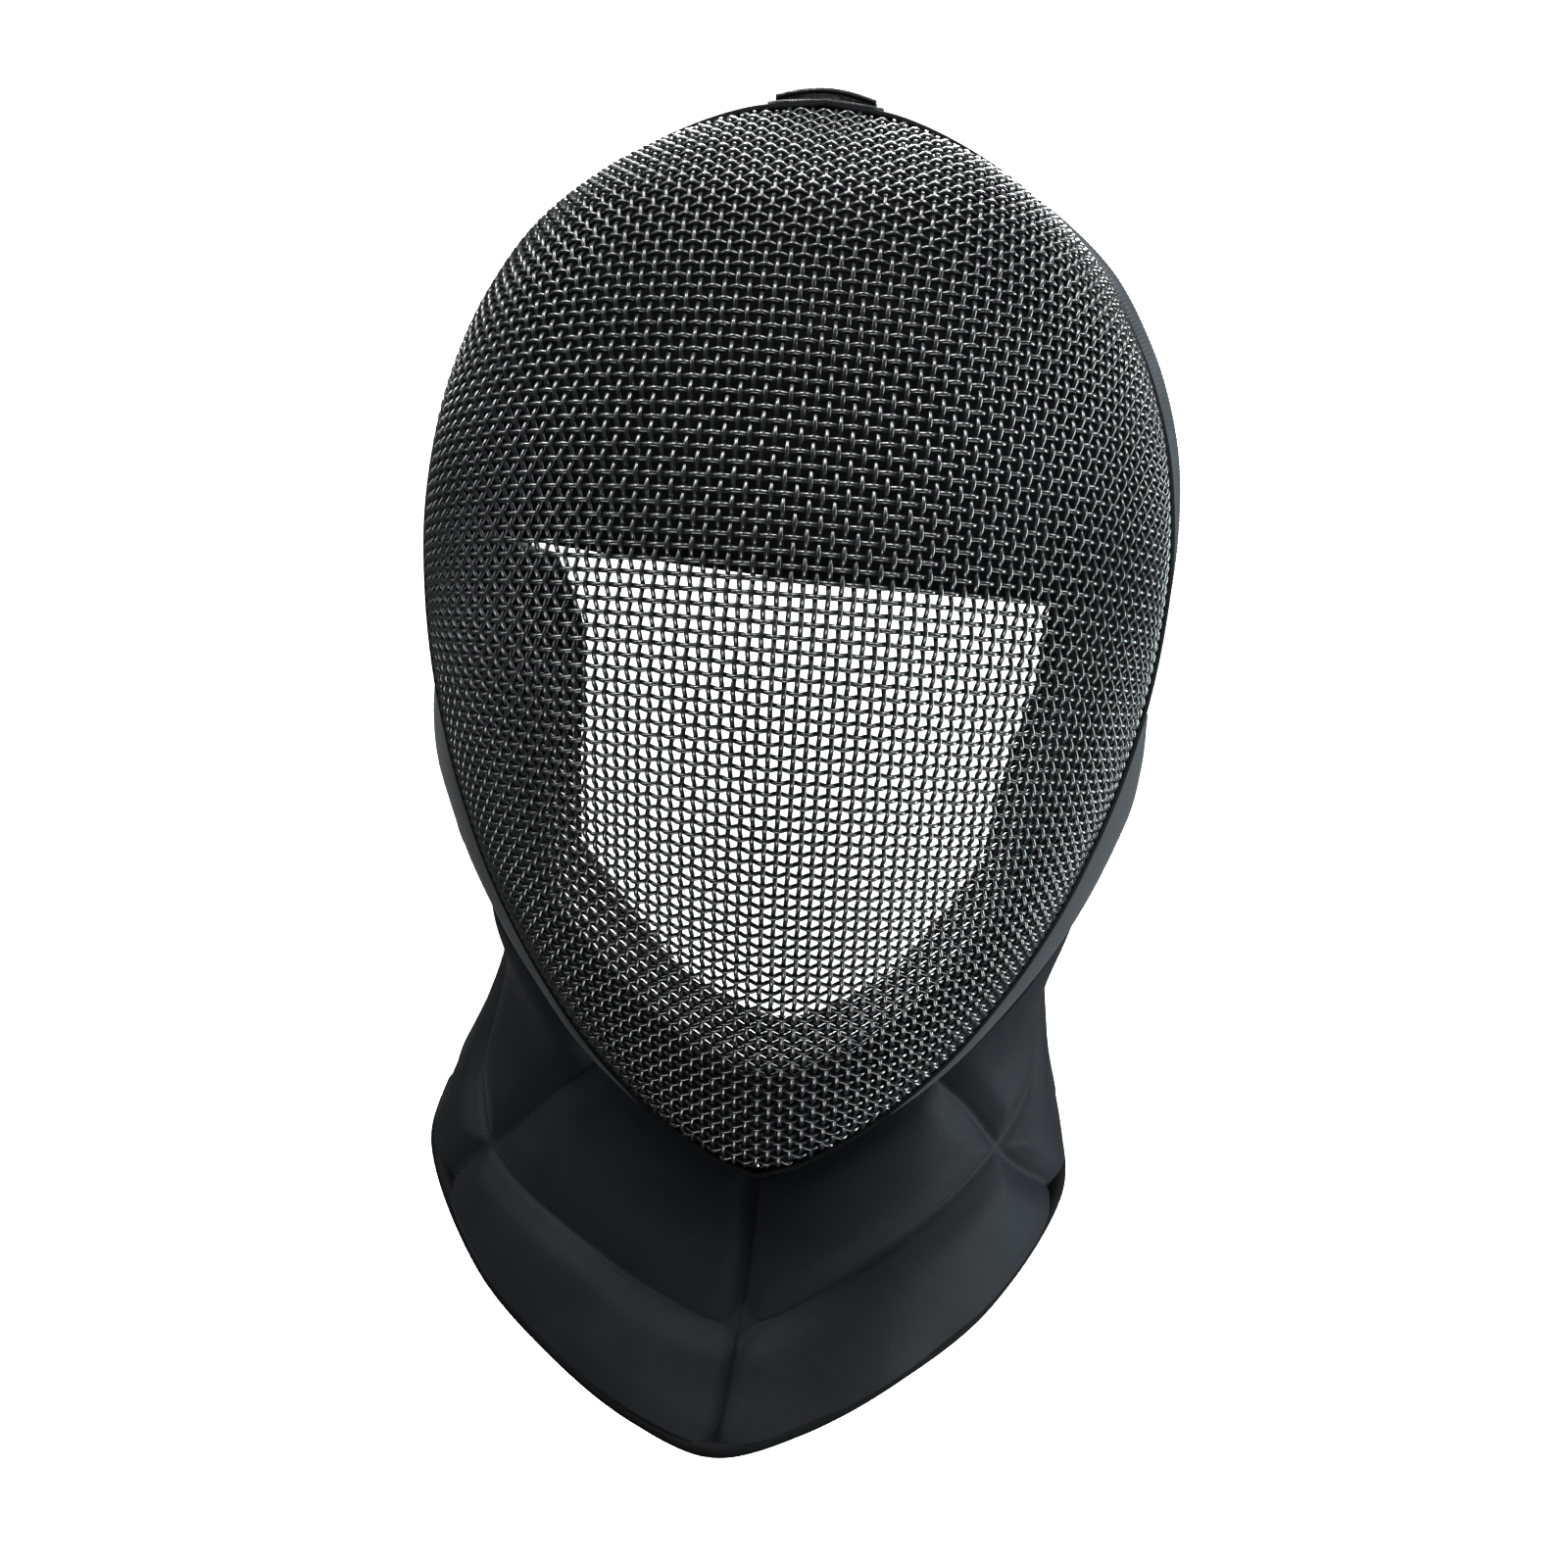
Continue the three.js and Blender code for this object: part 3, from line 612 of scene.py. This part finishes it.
# ---- Bib ----------------------------------------------------------------------------------------
LAST_PROFILE = len(BIB_PROFILES) - 1
SEAM_REACH = 0.5                        # profiles over which the surface turns to meet the seam
BIB_THICKNESS = 5.0
BIB_END = 0.985                         # the cloth ends here and the binding covers the rest
OTHER_SIDE = np.where([name.endswith("_x") or name == "from_chin" for name in BIB_COLUMNS], -1, 1)

# The profiles of both sides in one table, so that the surface runs smoothly across the seam.
BIB_BOTH_SIDES = np.vstack([BIB_PROFILES[:0:-1] * OTHER_SIDE, BIB_PROFILES])


def bib_point(around, down, side):
    """Point of the bib: around from the centre seam to the back edge, down from hem to lower edge."""
    v = spline(BIB_BOTH_SIDES, LAST_PROFILE + np.clip(around, 0, LAST_PROFILE))
    station = LAST_STATION - v[..., 0]
    band = band_values(station)
    flare = band["left"] if side > 0 else band["right"]
    top = beside_rim(station, np.full(station.shape, float(side)), flare - GAP, band["depth"] + GAP)
    mirror = np.array([side, 1, 1])
    levels = (top, v[..., 1:4] * mirror, v[..., 4:7] * mirror, v[..., 7:10] * mirror)
    down = np.asarray(down, float)
    weights = spline(np.eye(4), 3 * down)
    point = sum(weights[..., k, None] * level for k, level in enumerate(levels))
    point[..., 0] += BIB_DRIFT * down ** 2
    return point


def bib_normal(around, down, side):
    step = 1e-3
    ahead = bib_point(np.minimum(around + step, LAST_PROFILE), down, side) \
        - bib_point(np.maximum(around - step, 0), down, side)
    below = bib_point(around, down + step, side) - bib_point(around, down - step, side)
    normal = unit(np.cross(below, ahead)) * side
    normal[..., 0] *= np.clip(around / SEAM_REACH, 0, 1)
    return unit(normal)


# Quilting lines as (profile, share of the way down) pairs; they cross at one point on each side.
QUILTING = {
    1: {
        "sweep": [(0, 0.56), (1.3, 0.52), (2.42, 0.54), (3.34, 0.57)],
        "chin": [(3.34, 0.57), (2.92, 0.3), (2.45, -0.02)],
        "hem": [(3.34, 0.57), (3.72, 0.79), (4.06, 1.0)],
        "back": [(3.34, 0.57), (4.14, 0.58), (4.6, 0.4), (4.75, 0.0)],
    },
    -1: {
        "sweep": [(0, 0.56), (1.24, 0.585), (2.42, 0.65), (3.52, 0.75)],
        "chin": [(3.52, 0.75), (3.1, 0.48), (2.68, 0.21), (2.35, -0.02)],
        "hem": [(3.52, 0.75), (3.62, 0.87), (3.7, 1.0)],
        "back": [(3.52, 0.75), (4.4, 0.67), (4.62, 0.4), (4.45, 0.0)],
    },
}


def quilt_path(points, side, count=160):
    """Points of a quilting line on the bib, evenly spaced in its own parameters."""
    rows = np.array(points, float)
    at = np.linspace(0, len(rows) - 1, count)
    around, down = np.moveaxis(spline(rows, at), -1, 0)
    around = np.clip(around, 0, LAST_PROFILE)
    down = np.clip(down, 0, 1)
    return around, down, bib_point(around, down, side)


def distance_to(points, path):
    flat = points.reshape(-1, 3)
    nearest = np.full(len(flat), np.inf)
    for chunk in np.array_split(path, max(len(path) // 40, 1)):
        gaps = np.linalg.norm(flat[:, None] - chunk[None], axis=-1).min(1)
        nearest = np.minimum(nearest, gaps)
    return nearest.reshape(points.shape[:-1])


def bib_relief(points, around, down, side):
    """Height of the quilted face above the plain surface, in millimetres."""
    lines = [quilt_path(line, side)[2] for line in QUILTING[side].values()]
    gap = distance_to(points, np.vstack(lines))
    edges = (down, 1 - down, (LAST_PROFILE - around) / LAST_PROFILE)
    edge_fall = sum(0.9 * np.exp(-(e * steep) ** 2) for e, steep in zip(edges, (14, 16, 20)))
    seam_gap = np.abs(points[..., 0] - BIB_DRIFT * down ** 2)
    seam = 2.8 * np.exp(-(seam_gap / 4.0) ** 2) + 1.0 * np.exp(-(seam_gap / 1.0) ** 2)
    trough = 3.2 * np.exp(-(gap / 6.0) ** 2) + 1.1 * np.exp(-(gap / 1.2) ** 2)
    creases = 0.3 * ripple(points, 34, 11) * (1 - np.exp(-(gap / 9) ** 2))
    return 1.6 - np.minimum(trough + seam, 4.4) - edge_fall + creases


def bib_panel(side, name, node):
    around = np.linspace(0, LAST_PROFILE, 121)[:, None]
    down = np.linspace(0, BIB_END, 93)[None]
    around, down = np.broadcast_arrays(around, down)
    base = bib_point(around, down, side)
    normal = bib_normal(around, down, side)
    relief = bib_relief(base, around, down, side)
    outer = base + normal * relief[..., None]
    inner_relief = np.clip(relief, -1.4, 0.9) * 0.7
    inner = base - normal * (BIB_THICKNESS + inner_relief - 0.6)[..., None]
    seam_x = BIB_DRIFT * down ** 2
    for grid in (outer, inner):
        grid[..., 0] = seam_x + side * np.maximum(side * (grid[..., 0] - seam_x), 0)
    vertices, faces = closed_sheet(outer, inner)
    piece = make_mesh(name, place(vertices), faces, bib_material)
    face_outward(piece)
    finish_piece(piece, "bib", node, padded=0.6)


bib_panel(1, "bib_panel_left", "bib_left")
bib_panel(-1, "bib_panel_right", "bib_right")


def bib_stitches():
    """Thread along each quilting line, a little sunk in the groove."""
    length, gap, radius = 2.5, 1.1, 0.24
    runs = []
    for side in (1, -1):
        for line in QUILTING[side].values():
            around, down, path = quilt_path(line, side, 400)
            lengths = np.concatenate([[0], np.cumsum(np.linalg.norm(np.diff(path, axis=0), axis=1))])
            for start in np.arange(gap, lengths[-1] - length, length + gap):
                at = start + length * np.linspace(0, 1, 5)
                a = np.interp(at, lengths, around)
                d = np.interp(at, lengths, down)
                points = bib_point(a, d, side)
                normals = bib_normal(a, d, side)
                arch = -3.3 + 0.35 * np.sin(np.pi * np.linspace(0, 1, 5))
                runs.append((points + normals * arch[:, None], normals))
    vertices, faces = join_tubes(runs, radius, 5)
    piece = make_mesh("bib_stitching", place(vertices), faces, thread_material)
    finish_piece(piece, "bib")


bib_stitches()


def bib_binding():
    """A tape folded over the lower edge, all the way round."""
    per_side = 150
    half = np.linspace(0, LAST_PROFILE, per_side + 1)
    around = np.concatenate([half[:0:-1], half])
    sides = np.concatenate([-np.ones(per_side), np.ones(per_side + 1)])
    edge = np.empty((len(around), 3))
    normal = np.empty_like(edge)
    below = np.empty_like(edge)
    for side in (1, -1):
        mine = sides == side
        a = around[mine]
        d = np.full(a.shape, BIB_END)
        edge[mine] = bib_point(a, d, side)
        normal[mine] = bib_normal(a, d, side)
        below[mine] = unit(edge[mine] - bib_point(a, d - 0.02, side))
    middle = per_side
    normal[middle, 0] = 0
    normal = unit(normal)
    angle = 2 * np.pi * np.arange(14) / 14
    across = (BIB_THICKNESS * 0.5 + 0.45) * np.sign(np.cos(angle)) * np.abs(np.cos(angle)) ** 0.8
    drop = 0.7 + 2.3 * np.sin(angle)
    centre = edge - normal * (BIB_THICKNESS * 0.5 - 0.3)
    taper = np.sqrt(np.clip((LAST_PROFILE - around) / 0.2, 0.04, 1))[:, None, None]
    section = normal[:, None] * across[None, :, None] + below[:, None] * drop[None, :, None]
    rings = centre[:, None] + section * taper
    vertices = rings.reshape(-1, 3)
    count = len(angle)
    faces = ring_faces(len(around), count).tolist()
    faces.append(list(range(count)))
    faces.append(list(range(len(vertices) - count, len(vertices))))
    piece = make_mesh("bib_edge", place(vertices), faces, piping_material)
    face_outward(piece)
    finish_piece(piece, "piping", "bib_binding")


bib_binding()


# ---- Pads ---------------------------------------------------------------------------------------
# Columns: y and z in the middle, then at the sides the rim height, and how far inside and behind it.
FOREHEAD_ROWS = np.array([
    (12, -8.4, -9, 6.5, 14),
    (4, -6.4, -11, 5, 7),
    (-5, -5.8, -14, 4.4, 2),
    (-18, -11.5, -25, 3.2, 2),
    (-34, -23, -44, 2.4, 2),
    (-47, -45, -69, 2.1, 2),
    (-56, -75, -93, 2.1, 2),
    (-61, -108, -114, 2.1, 2),
])
FOREHEAD_KEEL = 0.1
FOREHEAD_TILT = 0.05
SIDE_PAD_FRONT = 0.5                    # the pads begin this far behind the rim plane
PAD_THICKNESS = 9
TONGUE_THICKNESS = 7
PAD_BOW = 4                             # the side and chin pads swell forward this much
PAD_UNEVENNESS = 0.32

# Columns: height on the rim of the outer edge, then the inner edge.
RIGHT_CHEEK = np.array([
    (-107.4, -63, -52, -110.2),
    (-136, -54, -54, -128),
    (-163, -53, -55, -158),
    (-196.5, -51.5, -57, -186),
])
LEFT_CHEEK = np.array([
    (-116.6, 69.5, -50, -113.8),
    (-136, 67, -52, -134),
    (-163, 60, -55, -158),
    (-196.5, 55.5, -57, -182),
])

# Columns: stations from the chin, to the right where negative, then the inner edge.
CHIN = np.array([
    (-5.2, -51, -57, -187),
    (-4.25, -37, -58, -202),
    (-2.83, -18, -60, -220),
    (0, 6, -61, -228),
    (2.83, 30, -60, -216),
    (4.25, 44, -58, -200),
    (5.2, 55, -57, -183),
])


def pillow(surface, name, node, thickness, flip, shape=(64, 48), edge=(0.06, 0.08), quilt=0, rim=None):
    """A padded sheet: full in the middle, thin and rounded at its edges, softly uneven."""
    u = np.linspace(0, 1, shape[0])[:, None]
    v = np.linspace(0, 1, shape[1])[None]
    u, v = np.broadcast_arrays(u, v)
    step = 1e-3
    along = surface(np.minimum(u + step, 1), v) - surface(np.maximum(u - step, 0), v)
    across = surface(u, np.minimum(v + step, 1)) - surface(u, np.maximum(v - step, 0))
    normal = unit(np.cross(along, across)) * flip
    base = surface(u, v)
    if rim is not None:
        inward = np.clip(rim(v) / 0.2, 0, 1)[..., None]
        normal = unit(normal * inward + RIM_BACK * (1 - inward))
    near = np.minimum(np.minimum(u, 1 - u) / edge[0], np.minimum(v, 1 - v) / edge[1])
    fullness = np.sqrt(1 - (1 - np.clip(near, 0, 1)) ** 2)
    half = thickness / 2
    puff = (half - 0.9) * fullness + 0.9 + PAD_UNEVENNESS * ripple(base, 30, 5) * fullness
    if quilt:
        lines = np.abs(((v * quilt) % 1) - 0.5) * 2
        puff = puff - 1.4 * np.exp(-((1 - lines) * 6) ** 2) * fullness
    middle = base + normal * half
    outer = middle - normal * puff[..., None]
    inner = middle + normal * puff[..., None]
    vertices, faces = closed_sheet(outer, inner)
    piece = make_mesh(name, place(vertices), faces, padding_material)
    face_outward(piece)
    finish_piece(piece, "padding", node, padded=0.6)


def pad_inset(rim_z):
    """How far inside the rim the pads end: against the hem they reach closer than at the webbing."""
    return np.interp(rim_z, (-165, -145), (1.4, 2.1))


def forehead_surface(u, v):
    row = spline(FOREHEAD_ROWS, u * (len(FOREHEAD_ROWS) - 1))
    front_y, front_z, side_z, side_in, side_back = np.moveaxis(row, -1, 0)
    station = station_of_rim(side_z)
    side = beside_rim(station, np.ones(station.shape), -side_in, side_back)
    point = cross_curve(np.pi * (v - 0.5), front_y, front_z, side[..., 1], side[..., 2],
                        side[..., 0], FOREHEAD_KEEL)
    point[..., 2] -= FOREHEAD_TILT * u * point[..., 0]
    return point


def edge_pad_surface(outer_at, rows):
    last = len(rows) - 1

    def surface(u, v):
        inner = spline(rows, u * last)[..., -3:]
        point = outer_at(u * last) * (1 - v[..., None]) + inner * v[..., None]
        point[..., 1] -= PAD_BOW * 4 * v * (1 - v)
        return point

    return surface


def cheek_outer(rows, side):
    def outer(at):
        rim_z = spline(rows, at)[..., 0]
        station = station_of_rim(rim_z)
        return beside_rim(station, np.full(station.shape, side), -pad_inset(rim_z), SIDE_PAD_FRONT)

    return outer


def chin_outer(at):
    from_chin = spline(CHIN, at)[..., 0]
    station = LAST_STATION - np.abs(from_chin)
    rim_z = station_values(station)["rim_z"]
    return beside_rim(station, np.where(from_chin < 0, -1.0, 1.0), -pad_inset(rim_z), SIDE_PAD_FRONT)


pillow(forehead_surface, "forehead_padding", "forehead_pad", PAD_THICKNESS, -1, shape=(76, 96),
       edge=(0.03, 0.02), quilt=4, rim=lambda v: np.minimum(v, 1 - v))
pillow(edge_pad_surface(cheek_outer(LEFT_CHEEK, 1), LEFT_CHEEK), "cheek_padding_left",
       "cheek_pad_left", PAD_THICKNESS, 1, edge=(0.025, 0.1), rim=lambda v: v)
pillow(edge_pad_surface(cheek_outer(RIGHT_CHEEK, -1), RIGHT_CHEEK), "cheek_padding_right",
       "cheek_pad_right", PAD_THICKNESS, -1, edge=(0.025, 0.1), rim=lambda v: v)
pillow(edge_pad_surface(chin_outer, CHIN), "chin_padding", "chin_pad", PAD_THICKNESS, -1,
       shape=(120, 40), edge=(0.01, 0.1), rim=lambda v: v)


# ---- Back tongue and crown tab ------------------------------------------------------------------
# Columns: y, z, half width.
TONGUE_ROWS = np.array([
    (14, -9.6, 16),
    (30, -12.5, 16),
    (50, -18, 16),
    (75, -31, 17),
    (95, -52, 19),
    (106, -80, 22),
    (109, -110, 23),
    (106, -136, 20),
])


def tongue_surface(u, v):
    y, z, half_width = np.moveaxis(spline(TONGUE_ROWS, u * (len(TONGUE_ROWS) - 1)), -1, 0)
    across = 2 * v - 1
    return np.stack([half_width * across, y, z - 1.5 * across ** 2], -1)


pillow(tongue_surface, "tongue_padding", "back_tongue", TONGUE_THICKNESS, 1, shape=(120, 30),
       edge=(0.03, 0.12))


TAB_SLOPE = 0.12
TAB_LENGTH = 17
TAB_THICKNESS = 1.4
CROWN_ARCH = 170                        # the tab drops across by x squared over this


def tab_layer(name, node, half_width, lift, rise):
    x = np.linspace(-1, 1, 81)[:, None] * half_width
    behind = BAND_FRONT + TAB_LENGTH * np.linspace(0, 1, 25)[None]
    x, behind = np.broadcast_arrays(x, behind)
    hump = rise * np.cos(np.pi * x / (2 * half_width))
    top = lift + hump - x ** 2 / CROWN_ARCH - TAB_SLOPE * behind
    outer = np.stack([x, np.zeros_like(x), top], -1) + RIM_BACK * behind[..., None]
    inner = outer - np.array([0, 0, TAB_THICKNESS])
    vertices, faces = closed_sheet(outer, inner)
    piece = make_mesh(name, place(vertices), faces, tab_material)
    face_outward(piece)
    finish_piece(piece, "tab", node)


tab_layer("crown_webbing", "crown_tab", 15, 3.2, 0)
tab_layer("crown_webbing_fold", "crown_tab_fold", 13, 4.8, 1.4)


# ---- Studio -------------------------------------------------------------------------------------
CAMERA_AZIMUTH = 2.5
CAMERA_ELEVATION = 20.0
CAMERA_ROLL = 3.27
CAMERA_DISTANCE = 0.7704
CAMERA_AIM = (0.0017, -0.040, -0.1405)
CAMERA_LENS = 68.5

SURROUND_LIGHT = 0.06
FLOOR_DROP = 0.6                        # metres below the mask
FLOOR_REACH = 30.0
FLOOR_GLOW = 0.1


def camera():
    data = bpy.data.cameras.new("camera")
    data.lens = CAMERA_LENS
    data.sensor_width = 36
    data.clip_start = 0.02
    rig = bpy.data.objects.new("camera", data)
    bpy.context.scene.collection.objects.link(rig)
    azimuth, elevation = math.radians(CAMERA_AZIMUTH), math.radians(CAMERA_ELEVATION)
    backward = Vector((math.sin(azimuth) * math.cos(elevation),
                       -math.cos(azimuth) * math.cos(elevation), math.sin(elevation)))
    turn = backward.to_track_quat("Z", "Y").to_matrix().to_4x4()
    roll = Matrix.Rotation(math.radians(CAMERA_ROLL), 4, "Z")
    rig.matrix_world = Matrix.Translation(Vector(CAMERA_AIM) + backward * CAMERA_DISTANCE) @ turn @ roll
    bpy.context.scene.camera = rig


def aim_light(name, data, position, aim=(0, 0, -0.13)):
    light = bpy.data.objects.new(name, data)
    bpy.context.scene.collection.objects.link(light)
    turn = (Vector(aim) - Vector(position)).to_track_quat("-Z", "Y")
    light.matrix_world = Matrix.Translation(position) @ turn.to_matrix().to_4x4()
    light.visible_camera = False


def softbox(name, size, power, position, colour=(1, 1, 1)):
    data = bpy.data.lights.new(name, "AREA")
    data.shape = "RECTANGLE"
    data.size, data.size_y = size
    data.energy = power
    data.color = colour
    aim_light(name, data, position)


def distant_light(name, strength, spread, position):
    data = bpy.data.lights.new(name, "SUN")
    data.energy = strength
    data.angle = math.radians(spread)
    aim_light(name, data, position)


def white_surround():
    """White where the camera sees past the floor, dimmer as a light, so black paint stays black."""
    world = bpy.data.worlds.new("studio")
    world.use_nodes = True
    tree = world.node_tree
    path = tree.nodes.new("ShaderNodeLightPath")
    level = tree.nodes.new("ShaderNodeMapRange")
    level.inputs["To Min"].default_value = SURROUND_LIGHT
    level.inputs["To Max"].default_value = 1.0
    background = tree.nodes["Background"]
    background.inputs["Color"].default_value = (1, 1, 1, 1)
    tree.links.new(path.outputs["Is Camera Ray"], level.inputs["Value"])
    tree.links.new(level.outputs[0], background.inputs["Strength"])
    bpy.context.scene.world = world


def pale_floor():
    """A pale floor that glows a little, so that it stays pale without lighting the mask from below."""
    n = Nodes("studio_floor")
    n.link(n.ramp(n.noise(300, 2), [(0, (0.93, 0.93, 0.93)), (1, (0.95, 0.95, 0.95))]), "Base Color")
    n.set(Roughness=0.9, Emission_Color=(1, 1, 1, 1), Emission_Strength=FLOOR_GLOW)
    low = cad_box[0][2] - FLOOR_DROP
    corners = [(x * FLOOR_REACH, y * FLOOR_REACH, low) for x, y in ((-1, -1), (1, -1), (1, 1), (-1, 1))]
    floor = make_mesh("floor", corners, [[0, 1, 2, 3]], n.material, smooth=False)
    floor.visible_diffuse = False
    floor.visible_glossy = False


def studio():
    bpy.context.scene.view_settings.view_transform = "Standard"
    white_surround()
    pale_floor()
    distant_light("key", 4.8, 22, (-0.5, -0.25, 1.3))
    distant_light("second", 3.4, 22, (0.75, -0.15, 1.2))
    softbox("front_low", (1.0, 0.3), 14, (0.1, -0.9, -0.9))
    softbox("behind", (0.8, 0.8), 38, (0.05, 1.5, 0.35))
    softbox("left_side", (0.25, 0.8), 6, (-1.1, -0.25, 0.6))
    softbox("right_side", (0.25, 1.0), 25, (1.2, 0.0, -0.25), (0.82, 0.97, 1))


camera()
studio()
